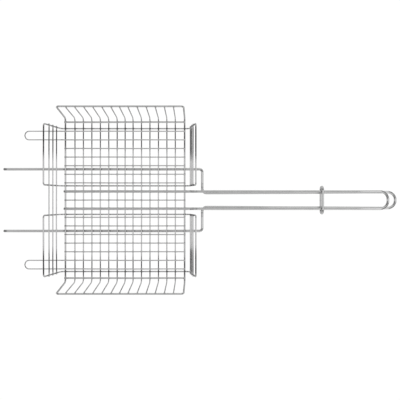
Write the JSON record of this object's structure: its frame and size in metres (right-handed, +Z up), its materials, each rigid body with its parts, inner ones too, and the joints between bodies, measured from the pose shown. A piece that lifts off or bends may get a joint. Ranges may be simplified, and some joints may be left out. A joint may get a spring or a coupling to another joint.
{
  "type": "wire grill basket",
  "caption": "Deep wire grill basket with a forked rod under it, a hooked press-down wire lid and a sliding ring that locks the two long loop handles together.",
  "frame": {"origin": "centre of the bounding box, on the surface that the prongs stand on", "axes": "+X along the handles from the prong tips to the grip, +Y across the basket, +Z up"},
  "size_m": [0.668, 0.3006, 0.0622],
  "materials": {
    "rod_plating": "bright plated steel rod",
    "frame_plating": "bright plated steel wire",
    "mesh_plating": "bright plated steel wire, slightly duller at the welds",
    "ring_plating": "bright plated steel wire"
  },
  "bodies": {
    "basket": {"fork_handle": "rod_plating", "rim_frame": "frame_plating", "cross_wire_01": "mesh_plating", "cross_wire_02": "mesh_plating", "cross_wire_03": "mesh_plating", "cross_wire_04": "mesh_plating", "cross_wire_05": "mesh_plating", "cross_wire_06": "mesh_plating", "cross_wire_07": "mesh_plating", "cross_wire_08": "mesh_plating", "cross_wire_09": "mesh_plating", "cross_wire_10": "mesh_plating", "cross_wire_11": "mesh_plating", "cross_wire_12": "mesh_plating", "cross_wire_13": "mesh_plating", "end_loop_right": "frame_plating", "end_loop_left": "frame_plating", "far_bar_low": "mesh_plating", "far_bar_middle": "mesh_plating", "far_bar_high": "mesh_plating", "near_bar_right_low": "mesh_plating", "near_bar_right_middle": "mesh_plating", "near_bar_right_high": "mesh_plating", "near_bar_left_low": "mesh_plating", "near_bar_left_middle": "mesh_plating", "near_bar_left_high": "mesh_plating"},
    "lid": {"lid_handle": "rod_plating", "lid_wire_01": "mesh_plating", "lid_wire_02": "mesh_plating", "lid_wire_03": "mesh_plating", "lid_wire_04": "mesh_plating", "lid_wire_05": "mesh_plating", "lid_wire_06": "mesh_plating", "lid_wire_07": "mesh_plating", "lid_wire_08": "mesh_plating", "lid_wire_09": "mesh_plating", "lid_wire_10": "mesh_plating", "lid_wire_11": "mesh_plating", "lid_edge_wire_left": "frame_plating", "lid_edge_wire_right": "frame_plating", "lid_tongue_right": "mesh_plating", "lid_tongue_left": "mesh_plating", "lid_cross_wire_01": "mesh_plating", "lid_cross_wire_02": "mesh_plating", "lid_cross_wire_03": "mesh_plating", "lid_cross_wire_04": "mesh_plating", "lid_cross_wire_05": "mesh_plating", "lid_cross_wire_06": "mesh_plating", "lid_cross_wire_07": "mesh_plating", "lid_cross_wire_08": "mesh_plating", "lid_cross_wire_09": "mesh_plating", "lid_cross_wire_10": "mesh_plating", "lid_cross_wire_11": "mesh_plating", "lid_cross_wire_12": "mesh_plating", "lid_cross_wire_13": "mesh_plating", "lid_cross_wire_14": "mesh_plating", "lid_cross_wire_15": "mesh_plating"},
    "lock_ring": {"lock_ring": "ring_plating"}
  },
  "joints": [
    {"name": "lid_hinge", "type": "hinge", "parent": "basket", "child": "lid", "pos_m": [-0.2278, 0, 0.00575], "axis": [0, -1, 0], "range_deg": [0, 90]},
    {"name": "ring_slide", "type": "slide", "parent": "basket", "child": "lock_ring", "axis": [1, 0, 0], "range_m": [-0.197, 0.117]}
  ]
}
